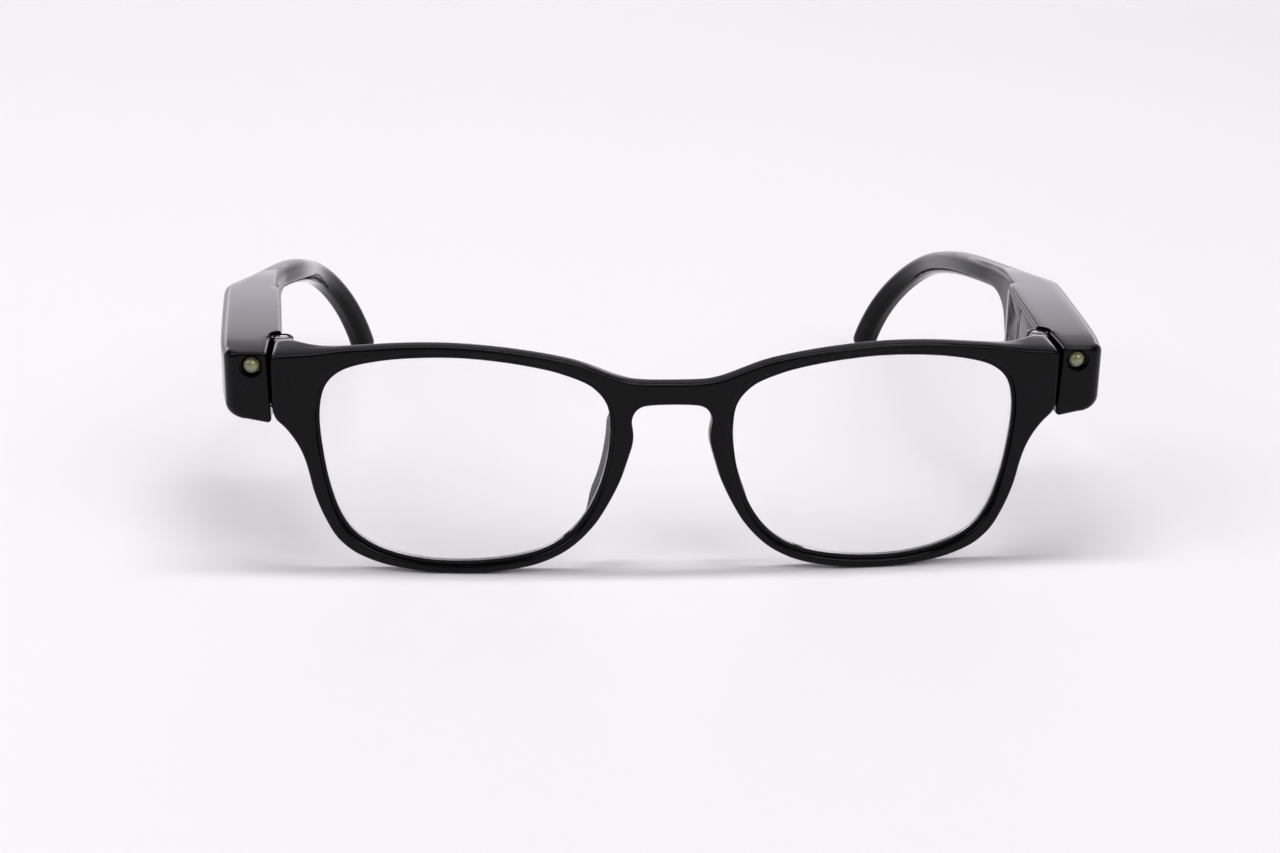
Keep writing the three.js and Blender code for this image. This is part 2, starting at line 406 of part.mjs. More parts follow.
function cellSolid(x0) {
  const R = CELL.r, t = CELL.t;
  const prof = [[0, 0], [R - 1.0, 0], [R - 0.85, 0.45], [R - 0.2, 0.5], [R, 0.75], [R, t - 0.15], [R - 0.15, t], [0, t]].map(([r, x]) => new THREE.Vector2(r, x));
  const q = clean(new THREE.LatheGeometry(prof, 20));
  warp(q, (v) => { const [a, b, c] = [v.x, v.y, v.z]; v.set(b, c, a); });
  q.translate(x0, CELL.y, CELL.z);
  return toSolid(q);
}
function hingeScrew() {
  const s = union(
    cyl('z', SCREW.headR, SCREW.top - SCREW.headH, SCREW.top, HINGE.x, HINGE.y, 18),
    cyl('z', SCREW.r, KNUCKLE_Z.bottom[0] + 1.15, SCREW.top - 0.3, HINGE.x, HINGE.y, 12),
  );
  return cut(s, box(HINGE.x - 2, HINGE.x + 2, HINGE.y - 0.14, HINGE.y + 0.14, SCREW.top - 0.32, SCREW.top + 1));
}

// ---------------------------------------------------------------- assembly
const group = new THREE.Group();
group.name = 'reading_glasses';
function addMesh(parent, name, geom, mat) {
  const g = geom.index ? geom : mergeVertices(geom, 1e-4);
  g.translate(0, Y_SHIFT, 0);
  g.computeVertexNormals();
  const m = new THREE.Mesh(g, new THREE.MeshStandardMaterial(MAT[mat]));
  m.name = name;
  parent.add(m);
}
addMesh(group, 'front_frame', toGeometry(frame), 'black');
for (const [side, tag] of [[1, 'left'], [-1, 'right']]) {
  const front = new THREE.Group(), temple = new THREE.Group();
  const lens = lensGeometry();
  addMesh(front, `lens_${tag}`, side > 0 ? toGeometry(toSolid(lens)) : mirrorX(lens), 'lens');
  addMesh(front, `hinge_screw_${tag}`, toGeometry(sideSolid(side, hingeScrew())), 'steel');
  for (const [name, make] of Object.entries(pieces)) {
    const [solid, mat] = make(tag);
    const placed = name === 'temple_shell' || name === 'lamp' ? solid : splay(solid);
    addMesh(temple, `${name}_${tag}`, toGeometry(sideSolid(side, placed)), mat);
  }
  group.add(front, temple);
}

export default group;
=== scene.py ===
import json
import math

import bmesh
import bpy
import numpy as np
from mathutils import Matrix, Vector
from mathutils.geometry import delaunay_2d_cdt

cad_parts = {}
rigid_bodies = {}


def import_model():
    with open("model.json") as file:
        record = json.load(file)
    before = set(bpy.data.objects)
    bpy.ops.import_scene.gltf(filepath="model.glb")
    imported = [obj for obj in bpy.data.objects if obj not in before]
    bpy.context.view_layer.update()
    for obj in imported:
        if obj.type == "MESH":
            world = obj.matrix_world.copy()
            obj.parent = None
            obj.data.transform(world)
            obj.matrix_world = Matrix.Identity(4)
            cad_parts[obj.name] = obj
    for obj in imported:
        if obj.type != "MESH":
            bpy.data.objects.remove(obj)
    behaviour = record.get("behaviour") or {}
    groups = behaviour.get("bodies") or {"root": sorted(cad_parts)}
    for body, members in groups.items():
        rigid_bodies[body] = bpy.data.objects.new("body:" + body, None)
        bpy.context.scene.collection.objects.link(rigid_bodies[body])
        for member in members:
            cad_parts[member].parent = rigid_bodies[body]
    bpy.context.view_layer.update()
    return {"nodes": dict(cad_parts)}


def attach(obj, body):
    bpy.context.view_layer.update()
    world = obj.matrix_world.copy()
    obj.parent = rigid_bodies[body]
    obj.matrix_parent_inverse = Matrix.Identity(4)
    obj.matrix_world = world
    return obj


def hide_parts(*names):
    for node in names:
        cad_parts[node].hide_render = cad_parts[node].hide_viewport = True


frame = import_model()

# Lighted reading glasses. Lengths in the tables below are in millimetres, as in the CAD source, with the
# front's middle at y = 0; MM and Y_SHIFT bring them into the frame (metres, origin under the box centre).
MM = 0.001
Y_SHIFT = -66.6
WRAP = 0.001
RIM_DEPTH = 2.8
END_X = 64.3
END_BACK_Y = 12.0
HINGE = (63.0, 14.3)
KNUCKLES = {"bottom": (25.9, 29.3), "temple": (29.65, 33.1), "top": (33.45, 37.1)}
LED_X, LED_Z = 67.2, 35.0
X_IN_FACE = 65.0

TOP_LINE = [[0, 32.9], [4, 32.95], [6, 33.1], [8, 33.55], [10, 34.25], [12, 35.05], [14, 35.8], [16, 36.4], [18, 36.85],
            [20, 37.25], [24, 37.9], [28, 38.4], [32, 38.75], [36, 38.95], [40, 38.95], [44, 38.8], [48, 38.5], [52, 38.15],
            [56, 37.8], [60, 37.5], [63.6, 37.22]]
LOW_LINE = [[64.1, 27.0], [63.7, 26.0], [62.4, 24.75], [61.1, 23.1], [60, 21.2], [59.25, 19.3], [58.7, 17.2], [58, 14],
            [57, 11], [56, 8.75], [55, 6.85], [54, 5.5], [52, 3.7], [50, 2.6], [48, 1.8], [46, 1.2], [43, 0.6], [40, 0.22],
            [37, 0.04], [34, 0.0], [31, 0.08], [28, 0.35], [25, 0.82], [22, 1.55], [20, 2.3], [18, 3.3], [16, 4.65],
            [14, 6.5], [12, 8.9], [11, 10.5], [10, 12.3], [9, 14.3], [8, 16.6], [7.2, 19.1], [6.65, 20.9], [6.25, 22.4],
            [6.1, 23.8], [6.22, 25.0], [6.42, 26.1], [6.3, 27.1], [5.85, 28.0], [5.0, 28.7], [3.2, 29.0], [0, 29.1]]
OPENING = [[57.18, 24.35], [57.2, 28.0], [56.45, 31.6], [55.2, 33.55], [53.36, 34.99], [51.4, 35.8], [49.26, 36.37],
           [45.41, 37.03], [42.01, 37.36], [38.97, 37.51], [36.17, 37.55], [33.5, 37.49], [30.86, 37.29], [28.19, 37.01],
           [25.37, 36.62], [22.31, 36.08], [18.87, 35.3], [15.13, 34.01], [13.2, 33.1], [11.61, 31.82], [10.3, 30.2],
           [9.61, 28.43], [9.3, 24.51], [9.7, 20.55], [10.49, 16.81], [11.73, 13.27], [13.42, 9.99], [15.65, 7.1],
           [18.42, 4.85], [21.54, 3.39], [24.72, 2.5], [27.75, 1.98], [30.64, 1.66], [33.5, 1.52], [36.38, 1.52],
           [39.35, 1.72], [42.48, 2.2], [45.74, 3.05], [49.05, 4.45], [52.07, 6.73], [54.13, 9.92], [55.37, 13.43],
           [56.23, 16.97], [56.78, 20.56]]


# ---------------------------------------------------------------- curves
def centripetal(points, closed, per=40):
    """Centripetal Catmull-Rom through the points, as a dense polyline."""
    p = np.array(points, float)
    n = len(p)
    out = []
    for i in range(n if closed else n - 1):
        p1, p2 = p[i], p[(i + 1) % n]
        p0 = p[(i - 1) % n] if (closed or i > 0) else 2 * p1 - p2
        p3 = p[(i + 2) % n] if (closed or i + 2 < n) else 2 * p2 - p1
        d = [max(np.linalg.norm(b - a), 1e-9) ** 0.5 for a, b in ((p0, p1), (p1, p2), (p2, p3))]
        t0, t1, t2, t3 = 0, d[0], d[0] + d[1], d[0] + d[1] + d[2]
        t = np.linspace(t1, t2, per, endpoint=False)[:, None]
        a1 = (t1 - t) / (t1 - t0) * p0 + (t - t0) / (t1 - t0) * p1
        a2 = (t2 - t) / (t2 - t1) * p1 + (t - t1) / (t2 - t1) * p2
        a3 = (t3 - t) / (t3 - t2) * p2 + (t - t2) / (t3 - t2) * p3
        b1 = (t2 - t) / (t2 - t0) * a1 + (t - t0) / (t2 - t0) * a2
        b2 = (t3 - t) / (t3 - t1) * a2 + (t - t1) / (t3 - t1) * a3
        out.append((t2 - t) / (t2 - t1) * b1 + (t - t1) / (t2 - t1) * b2)
    if not closed:
        out.append(p[-1:])
    return np.concatenate(out)


def respace(poly, step, closed):
    q = np.vstack([poly, poly[:1]]) if closed else poly
    s = np.r_[0, np.cumsum(np.linalg.norm(np.diff(q, axis=0), axis=1))]
    n = max(8, int(round(s[-1] / step)))
    t = np.linspace(0, s[-1], n + 1)
    if closed:
        t = t[:-1]
    return np.stack([np.interp(t, s, q[:, k]) for k in range(q.shape[1])], axis=1)


def smooth_loop(p, sigma_pts):
    n = len(p)
    k = np.fft.fftfreq(n)
    g = np.exp(-2 * (np.pi * k * sigma_pts) ** 2)
    return np.stack([np.real(np.fft.ifft(np.fft.fft(p[:, i]) * g)) for i in range(p.shape[1])], axis=1)


def normals2(p):
    """Outward normals of a counter-clockwise loop."""
    t = np.roll(p, -1, 0) - np.roll(p, 1, 0)
    t /= np.maximum(np.linalg.norm(t, axis=1), 1e-12)[:, None]
    return np.c_[t[:, 1], -t[:, 0]]


def table(rows, x):
    """Smooth interpolation (monotone cubic) of a table."""
    r = np.array(rows, float)
    xs, ys = r[:, 0], r[:, 1]
    h = np.diff(xs)
    d = np.diff(ys) / h
    m = np.zeros(len(xs))
    m[0], m[-1] = d[0], d[-1]
    for i in range(1, len(xs) - 1):
        if d[i - 1] * d[i] > 0:
            w1, w2 = 2 * h[i] + h[i - 1], h[i] + 2 * h[i - 1]
            m[i] = (w1 + w2) / (w1 / d[i - 1] + w2 / d[i])
    x = np.clip(np.asarray(x, float), xs[0], xs[-1])
    i = np.clip(np.searchsorted(xs, x, side="right") - 1, 0, len(xs) - 2)
    t = (x - xs[i]) / h[i]
    return ((2 * t**3 - 3 * t**2 + 1) * ys[i] + (t**3 - 2 * t**2 + t) * h[i] * m[i]
            + (-2 * t**3 + 3 * t**2) * ys[i + 1] + (t**3 - t**2) * h[i] * m[i + 1])


def smooth(a, b, x):
    t = np.clip((np.asarray(x, float) - a) / (b - a), 0, 1)
    return t * t * (3 - 2 * t)


# ---------------------------------------------------------------- mesh helpers
def make_object(name, verts_mm, faces, material, angle=35, merge=0.0):
    me = bpy.data.meshes.new(name)
    v = np.array(verts_mm, float)
    v = (v + [0, Y_SHIFT, 0]) * MM
    me.from_pydata([tuple(p) for p in v], [], [tuple(int(i) for i in f) for f in faces])
    bm = bmesh.new()
    bm.from_mesh(me)
    if merge:
        bmesh.ops.remove_doubles(bm, verts=bm.verts, dist=merge)
    bmesh.ops.recalc_face_normals(bm, faces=bm.faces)
    bm.to_mesh(me)
    bm.free()
    me.update()
    ob = bpy.data.objects.new(name, me)
    bpy.context.scene.collection.objects.link(ob)
    ob.data.materials.append(material)
    shade(ob, angle)
    return ob


def shade(ob, angle=35):
    me = ob.data
    for p in me.polygons:
        p.use_smooth = True
    me.set_sharp_from_angle(angle=math.radians(angle))


def apply_modifiers(ob):
    dg = bpy.context.evaluated_depsgraph_get()
    ev = ob.evaluated_get(dg)
    me = bpy.data.meshes.new_from_object(ev, depsgraph=dg)
    old = ob.data
    ob.modifiers.clear()
    ob.data = me
    bpy.data.meshes.remove(old)
    return ob


def boolean(ob, cutters, op="DIFFERENCE"):
    for c in cutters:
        m = ob.modifiers.new("cut", "BOOLEAN")
        m.operation = op
        m.solver = "EXACT"
        m.object = c
    bpy.context.view_layer.update()
    apply_modifiers(ob)
    for c in cutters:
        me = c.data
        bpy.data.objects.remove(c)
        bpy.data.meshes.remove(me)
    return ob


def bevel(ob, width_mm, segments=2, angle=40):
    m = ob.modifiers.new("edge", "BEVEL")
    m.width = width_mm * MM
    m.segments = segments
    m.limit_method = "ANGLE"
    m.angle_limit = math.radians(angle)
    m.use_clamp_overlap = True
    bpy.context.view_layer.update()
    return apply_modifiers(ob)


def revolve(profile, origin, axis, seg=64):
    """Closed lathe solid: profile is (radius, height) from one end of the axis to the other."""
    ax = np.array(axis, float)
    ax /= np.linalg.norm(ax)
    u = np.cross(ax, [0, 0, 1.0]) if abs(ax[2]) < 0.9 else np.cross(ax, [0, 1.0, 0])
    u /= np.linalg.norm(u)
    w = np.cross(ax, u)
    verts, rings, faces = [], [], []
    for r, h in profile:
        c = np.array(origin, float) + ax * h
        if r < 1e-6:
            rings.append([len(verts)])
            verts.append(c)
        else:
            idx = []
            for k in range(seg):
                a = 2 * math.pi * k / seg
                idx.append(len(verts))
                verts.append(c + r * (math.cos(a) * u + math.sin(a) * w))
            rings.append(idx)
    for a, b in zip(rings, rings[1:]):
        if len(a) == 1 and len(b) == 1:
            continue
        for k in range(seg):
            k2 = (k + 1) % seg
            if len(a) == 1:
                faces.append((a[0], b[k], b[k2]))
            elif len(b) == 1:
                faces.append((a[k], b[0], a[k2]))
            else:
                faces.append((a[k], b[k], b[k2], a[k2]))
    if len(rings[0]) > 1 and len(rings[-1]) > 1:  # closed profile of a ring
        a, b = rings[-1], rings[0]
        for k in range(seg):
            k2 = (k + 1) % seg
            faces.append((a[k], b[k], b[k2], a[k2]))
    return verts, faces


def rounded_rect(a0, a1, b0, b1, r, n=8):
    pts = []
    for ca, cb, s in ((a1 - r, b0 + r, -0.5), (a1 - r, b1 - r, 0), (a0 + r, b1 - r, 0.5), (a0 + r, b0 + r, 1)):
        for i in range(n + 1):
            t = math.pi * (s + 0.5 * i / n)
            pts.append((ca + r * math.cos(t), cb + r * math.sin(t)))
    return pts


def slab_x(loop_yz, stations):
    """Plate in the YZ plane: stations are (x, inset) from one face to the other."""
    p = np.array(loop_yz, float)
    nn = normals2(p)
    verts, faces = [], []
    n = len(p)
    for x, inset in stations:
        q = p - nn * inset
        verts += [(x, a, b) for a, b in q]
    for k in range(len(stations) - 1):
        for i in range(n):
            j = (i + 1) % n
            faces.append((k * n + i, k * n + j, (k + 1) * n + j, (k + 1) * n + i))
    faces.append(tuple(range(n))[::-1])
    faces.append(tuple(range((len(stations) - 1) * n, len(stations) * n)))
    return verts, faces


def mirrored(verts, side):
    v = np.array(verts, float)
    v[:, 0] *= side
    return v


# ---------------------------------------------------------------- materials
def new_material(name):
    m = bpy.data.materials.new(name)
    m.use_nodes = True
    nt = m.node_tree
    nt.nodes.clear()
    out = nt.nodes.new("ShaderNodeOutputMaterial")
    b = nt.nodes.new("ShaderNodeBsdfPrincipled")
    nt.links.new(b.outputs[0], out.inputs[0])
    return m, nt, b


def noise(nt, scale, detail=3.0, rough=0.55, coord=None):
    n = nt.nodes.new("ShaderNodeTexNoise")
    n.inputs["Scale"].default_value = scale
    n.inputs["Detail"].default_value = detail
    n.inputs["Roughness"].default_value = rough
    if coord is None:
        c = nt.nodes.new("ShaderNodeTexCoord")
        coord = c.outputs["Object"]
    nt.links.new(coord, n.inputs["Vector"])
    return n


def ramp(nt, fac, stops):
    r = nt.nodes.new("ShaderNodeValToRGB")
    els = r.color_ramp.elements
    while len(els) < len(stops):
        els.new(0.5)
    for e, (p, c) in zip(els, stops):
        e.position = p
        e.color = (*c, 1) if len(c) == 3 else c
    nt.links.new(fac, r.inputs[0])
    return r


def map_range(nt, val, a, b, lo, hi):
    m = nt.nodes.new("ShaderNodeMapRange")
    m.inputs["From Min"].default_value = a
    m.inputs["From Max"].default_value = b
    m.inputs["To Min"].default_value = lo
    m.inputs["To Max"].default_value = hi
    nt.links.new(val, m.inputs["Value"])
    return m


def bump(nt, height, strength, distance):
    b = nt.nodes.new("ShaderNodeBump")
    b.inputs["Strength"].default_value = strength
    b.inputs["Distance"].default_value = distance
    nt.links.new(height, b.inputs["Height"])
    return b


def gloss_black(name, rough=0.07, spec=0.13, tone=1.0, peel=0.05):
    m, nt, b = new_material(name)
    base = noise(nt, 90, 4)
    r = ramp(nt, base.outputs["Fac"], [(0.3, (0.0022 * tone, 0.0019 * tone, 0.0025 * tone)), (0.75, (0.0034 * tone, 0.0030 * tone, 0.0038 * tone))])
    # a few specks of settled dust
    dust = noise(nt, 2600, 1, 0.4)
    speck = ramp(nt, dust.outputs["Fac"], [(0.735, (0, 0, 0)), (0.76, (1, 1, 1))])
    mix = nt.nodes.new("ShaderNodeMix")
    mix.data_type = "RGBA"
    nt.links.new(speck.outputs[0], mix.inputs[0])
    nt.links.new(r.outputs[0], mix.inputs[6])
    mix.inputs[7].default_value = (0.012, 0.0115, 0.0125, 1)
    nt.links.new(mix.outputs[2], b.inputs["Base Color"])
    # polish varies softly; fine wipe marks
    wipe = noise(nt, 260, 5, 0.6)
    mr = map_range(nt, wipe.outputs["Fac"], 0.3, 0.7, rough * 0.8, rough * 1.35)
    nt.links.new(mr.outputs[0], b.inputs["Roughness"])
    b.inputs["Specular IOR Level"].default_value = spec
    peel_n = noise(nt, 700, 2, 0.5)
    bp = bump(nt, peel_n.outputs["Fac"], peel, 0.00003)
    nt.links.new(bp.outputs[0], b.inputs["Normal"])
    return m


def metal(name, color, rough=0.25, turned=False):
    m, nt, b = new_material(name)
    n = noise(nt, 1500, 4)
    dark = tuple(c * 0.78 for c in color)
    r = ramp(nt, n.outputs["Fac"], [(0.3, dark), (0.7, color)])
    nt.links.new(r.outputs[0], b.inputs["Base Color"])
    b.inputs["Metallic"].default_value = 1.0
    mr = map_range(nt, n.outputs["Fac"], 0.25, 0.75, rough * 0.75, rough * 1.4)
    nt.links.new(mr.outputs[0], b.inputs["Roughness"])
    bp = bump(nt, n.outputs["Fac"], 0.12, 0.00003)
    nt.links.new(bp.outputs[0], b.inputs["Normal"])
    return m


def satin_plastic(name, color, rough=0.4, scale=2500, strength=0.2):
    m, nt, b = new_material(name)
    n = noise(nt, scale, 3)
    r = ramp(nt, n.outputs["Fac"], [(0.3, tuple(c * 0.8 for c in color)), (0.7, tuple(c * 1.2 for c in color))])
    nt.links.new(r.outputs[0], b.inputs["Base Color"])
    mr = map_range(nt, n.outputs["Fac"], 0.3, 0.7, rough * 0.85, rough * 1.15)
    nt.links.new(mr.outputs[0], b.inputs["Roughness"])
    bp = bump(nt, n.outputs["Fac"], strength, 0.00003)
    nt.links.new(bp.outputs[0], b.inputs["Normal"])
    return m


BLACK = gloss_black("polished_black", rough=0.06)
BLACK_COVER = gloss_black("polished_black_cover", rough=0.09, tone=1.15)
STEEL = metal("turned_steel", (0.60, 0.57, 0.53), 0.24)
CELL_STEEL = metal("stamped_cell_can", (0.66, 0.65, 0.63), 0.22)
NICKEL = metal("nickel_strip", (0.60, 0.57, 0.49), 0.3)
BOARD = satin_plastic("solder_mask_green", (0.012, 0.07, 0.028), 0.35, 900, 0.15)
SWITCH = satin_plastic("switch_moulding", (0.02, 0.02, 0.022), 0.5)
BUTTON = satin_plastic("button_cap", (0.022, 0.021, 0.024), 0.38)
DARK_CUP = satin_plastic("lamp_bezel_dark", (0.006, 0.006, 0.007), 0.35)

LENS, nt, b = new_material("clear_lens")
ln = noise(nt, 60, 2)
lr = ramp(nt, ln.outputs["Fac"], [(0.3, (0.985, 0.99, 0.992)), (0.7, (0.995, 0.997, 0.998))])
nt.links.new(lr.outputs[0], b.inputs["Base Color"])
b.inputs["Roughness"].default_value = 0.0
b.inputs["IOR"].default_value = 1.49
b.inputs["Transmission Weight"].default_value = 1.0

# ground edge of the lens: frosted, lighter than the frame; the light grey is partly the frosted edge and partly a
# painted reflection of the bright band along the inside of the opening
LENS_EDGE_AND_SHEEN, nt, b = new_material("ground_lens_edge_and_painted_sheen")
en = noise(nt, 1400, 3)
er = ramp(nt, en.outputs["Fac"], [(0.3, (0.50, 0.48, 0.50)), (0.7, (0.66, 0.64, 0.66))])
nt.links.new(er.outputs[0], b.inputs["Base Color"])
b.inputs["Roughness"].default_value = 0.35
bp = bump(nt, en.outputs["Fac"], 0.2, 0.00003)
nt.links.new(bp.outputs[0], b.inputs["Normal"])

DOME, nt, b = new_material("lamp_epoxy_dome")
dn = noise(nt, 500, 2)
dr = ramp(nt, dn.outputs["Fac"], [(0.3, (0.93, 0.94, 0.88)), (0.7, (0.97, 0.97, 0.93))])
nt.links.new(dr.outputs[0], b.inputs["Base Color"])
b.inputs["Roughness"].default_value = 0.02
b.inputs["Coat Weight"].default_value = 1.0
b.inputs["Coat Roughness"].default_value = 0.02
b.inputs["Coat IOR"].default_value = 1.8
b.inputs["IOR"].default_value = 1.5
b.inputs["Transmission Weight"].default_value = 1.0

PHOS, nt, b = new_material("lamp_phosphor")
pn = noise(nt, 1800, 4)
pr = ramp(nt, pn.outputs["Fac"], [(0.3, (0.27, 0.25, 0.05)), (0.7, (0.45, 0.42, 0.11))])
nt.links.new(pr.outputs[0], b.inputs["Base Color"])
b.inputs["Roughness"].default_value = 0.45
bp = bump(nt, pn.outputs["Fac"], 0.3, 0.00005)
nt.links.new(bp.outputs[0], b.inputs["Normal"])
CUP = metal("lamp_reflector", (0.80, 0.80, 0.78), 0.15)


# ---------------------------------------------------------------- outlines
top = centripetal(TOP_LINE, False)
low = centripetal(LOW_LINE, False)
side_pts = np.array([[64.0, 37.05], [END_X, 36.6], [END_X, 33.0], [END_X, 29.5], [64.27, 28.0]])
right = np.vstack([top, side_pts, low])
outer = np.vstack([right, (right * [-1, 1])[::-1][1:-1]])[::-1]  # counter-clockwise
STEP = 0.36
outer = respace(outer, STEP, True)
outer = smooth_loop(outer, 1.1)
openR = respace(centripetal(OPENING, True), STEP, True)
openR = smooth_loop(openR, 2.0)
if np.sum(openR[:, 0] * np.roll(openR[:, 1], -1) - np.roll(openR[:, 0], -1) * openR[:, 1]) < 0:
    openR = openR[::-1]
if np.sum(outer[:, 0] * np.roll(outer[:, 1], -1) - np.roll(outer[:, 0], -1) * outer[:, 1]) < 0:
    outer = outer[::-1]
openL = (openR * [-1, 1])[::-1]

END_GROW = [[50, 0], [52, 0.08], [54, 0.4], [55, 0.75], [56, 1.2], [57, 1.75], [58, 2.45], [59, 3.2], [60, 4.1],
            [60.7, 4.75], [61.3, 5.15], [62, 5.33], [END_X, END_BACK_Y - RIM_DEPTH - WRAP * END_X**2]]


def grow(x, z, s):
    """Displacement of the back of the front: end pieces and moulded nose pads; s runs 0..1 towards the back."""
    ax = np.abs(x)
    end = table(END_GROW, ax) * smooth(14, 22.5, z)
    pad = smooth(7.5, 14, z) * (1 - smooth(24.5, 29.5, z)) * (1 - smooth(13.5, 18, ax))
    return np.sign(x) * 1.15 * pad * s**1.4, (end + 3.9 * pad) * s


def front_point(p2, y, s):
    x, z = p2[:, 0], p2[:, 1]
    dx, dy = grow(x, z, s)
    xx = x + dx
    # the top of the end pieces falls a little towards the front
    depth = np.clip((y + dy) / 9.0, 0, 1)
    fall = 0.42 * (1 - depth) ** 1.5 * smooth(52, 60, np.abs(x)) * smooth(33, 36.5, z)
    return np.c_[xx, y + dy + WRAP * xx**2, z - fall]


# ---------------------------------------------------------------- front frame
R_EDGE = 0.5


def profile(groove):
    """(inset from the wall, flat y, s) from the front face to the back face."""
    rows = []
    crown = 0.0 if groove else 0.11
    for i in range(7):
        a = math.pi / 2 * i / 6
        rows.append((crown + R_EDGE * (1 - math.sin(a)), R_EDGE * (1 - math.cos(a)), 0.0))
    if groove:
        rows += [(0, 0.7, 0), (-0.67, 0.7, 0), (-0.67, 2.22, 0), (0, 2.22, 0)]
    else:
        rows += [(0.085, 0.75, 0), (0.05, 1.1, 0), (0.02, 1.6, 0), (0, 2.22, 0)]
    for i in range(1, 9):
        rows.append((0, 2.22 + (RIM_DEPTH - R_EDGE - 2.22) * i / 8, i / 8))
    for i in range(1, 7):
        a = math.pi / 2 * i / 6
        rows.append((R_EDGE * (1 - math.cos(a)), RIM_DEPTH - R_EDGE * (1 - math.sin(a)), 1.0))
    return rows


def inside(poly, pts):
    x, y = pts[:, 0], pts[:, 1]
    c = np.zeros(len(pts), bool)
    n = len(poly)
    for i in range(n):
        x1, y1 = poly[i]
        x2, y2 = poly[(i + 1) % n]
        if y1 == y2:
            continue
        hit = ((y1 > y) != (y2 > y)) & (x < (x2 - x1) * (y - y1) / (y2 - y1) + x1)
        c ^= hit
    return c


def front_frame_mesh():
    verts, faces = [], []
    ends = {"front": [], "back": []}
    for loop, sign, rows in ((outer, 1, profile(False)), (openR, -1, profile(True)), (openL, -1, profile(True))):
        nn = normals2(loop)
        ring_idx = []
        for inset, y, s in rows:
            q = loop - nn * inset * sign
            ring_idx.append((len(verts), q))
            verts += list(front_point(q, y, np.full(len(q), s)))
        n = len(loop)
        for (a, _), (b, _) in zip(ring_idx, ring_idx[1:]):
            for i in range(n):
                j = (i + 1) % n
                faces.append((a + i, a + j, b + j, b + i))
        ends["front"].append(ring_idx[0])
        ends["back"].append(ring_idx[-1])
    g = 0.75
    gx, gz = np.meshgrid(np.arange(-65, 65.01, g), np.arange(0, 39.5, g))
    grid = np.c_[gx.ravel(), gz.ravel()]
    grid[:, 0] += (np.round(grid[:, 1] / g) % 2) * g / 2
    for which, y, s in (("front", 0.0, 0.0), ("back", RIM_DEPTH, 1.0)):
        loops = ends[which]
        coords, edges, origin = [], [], []
        for base, q in loops:
            k = len(coords)
            n = len(q)
            coords += [Vector((float(a), float(b))) for a, b in q]
            origin += [base + i for i in range(n)]
            edges += [(k + i, k + (i + 1) % n) for i in range(n)]
        keep = inside(loops[0][1], grid) & ~inside(loops[1][1], grid) & ~inside(loops[2][1], grid)
        pts = grid[keep]
        allb = np.vstack([q for _, q in loops])
        far = np.ones(len(pts), bool)
        for k in range(0, len(pts), 500):
            d = np.linalg.norm(pts[k:k + 500, None] - allb[None], axis=2).min(1)
            far[k:k + 500] = d > 0.33
        pts = pts[far]
        coords += [Vector((float(a), float(b))) for a, b in pts]
        v2, _, f2, ov, _, _ = delaunay_2d_cdt(coords, edges, [], 0, 1e-6)
        v2a = np.array([[v.x, v.y] for v in v2])
        idx = []
        new_p, new_i = [], []
        for i, o in enumerate(ov):
            o = [k for k in o if k < len(origin)]
            if o:
                idx.append(origin[o[0]])
            else:
                idx.append(-1)
                new_i.append(i)
                new_p.append(v2a[i])
        if new_p:
            base = len(verts)
            verts += list(front_point(np.array(new_p), y, np.full(len(new_p), s)))
            for k, i in enumerate(new_i):
                idx[i] = base + k
        cen = np.array([v2a[list(f)].mean(0) for f in f2])
        ok = inside(loops[0][1], cen) & ~inside(loops[1][1], cen) & ~inside(loops[2][1], cen)
        for f, k in zip(f2, ok):
            if k:
                faces.append(tuple(idx[i] for i in f))
    return np.array(verts), faces


def knuckle_mesh(z0, z1, counterbore):
    """Barrel of a hinge knuckle with its bore, edges rounded."""
    c, R, r = 0.16, 1.85, 0.78
    prof = [(r, z0 + c * 0.5), (r + c * 0.5, z0), (R - c, z0), (R - 0.3 * c, z0 + 0.3 * c), (R, z0 + c),
            (R, z1 - c), (R - 0.3 * c, z1 - 0.3 * c), (R - c, z1)]
    if counterbore:
        prof += [(1.45, z1), (1.38, z1 - 0.07), (1.38, z1 - 0.85), (r, z1 - 0.85)]
    else:
        prof += [(r + c * 0.5, z1), (r, z1 - c * 0.5)]
    return revolve(prof, (HINGE[0], HINGE[1], 0), (0, 0, 1), 56)


def block(x0, x1, y0, y1, z0, z1):
    v = [(x, y, z) for x in (x0, x1) for y in (y0, y1) for z in (z0, z1)]
    f = [(0, 1, 3, 2), (4, 6, 7, 5), (0, 4, 5, 1), (2, 3, 7, 6), (0, 2, 6, 4), (1, 5, 7, 3)]
    return v, f


def join_meshes(parts):
    V, F, k = [], [], 0
    for v, f in parts:
        V += [tuple(p) for p in v]
        F += [tuple(i + k for i in q) for q in f]
        k += len(v)
    return V, F


pieces = []


def piece(ob, body, nodes):
    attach(ob, body)
    if nodes:
        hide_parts(*nodes)
    pieces.append(ob)
    return ob


fv, ff = front_frame_mesh()
parts = [(fv, ff)]
ob = make_object("front_visual", fv, ff, BLACK, 50)
for s in (1, -1):
    for key in ("top", "bottom"):
        z0, z1 = KNUCKLES[key]
        kv, kf = knuckle_mesh(z0, z1, key == "top")
        o = make_object("knuckle", mirrored(kv, s), kf, BLACK, 40)
        nv, nf = block(HINGE[0] - 1.8, HINGE[0] + 1.1, END_BACK_Y - 0.9, HINGE[1] - 0.95, z0 + 0.02, z1 - 0.02)
        n = make_object("neck", mirrored(nv, s), nf, BLACK, 30)
        bevel(n, 0.18, 3)
        shade(n, 40)
        for x in (o, n):
            x.select_set(True)
        for x in (o, n):
            x["join"] = 1
joined = [o for o in bpy.data.objects if o.get("join")]
bm = bmesh.new()
bm.from_mesh(ob.data)
for o in joined:
    bm.from_mesh(o.data)
bm.to_mesh(ob.data)
bm.free()
shade(ob, 42)
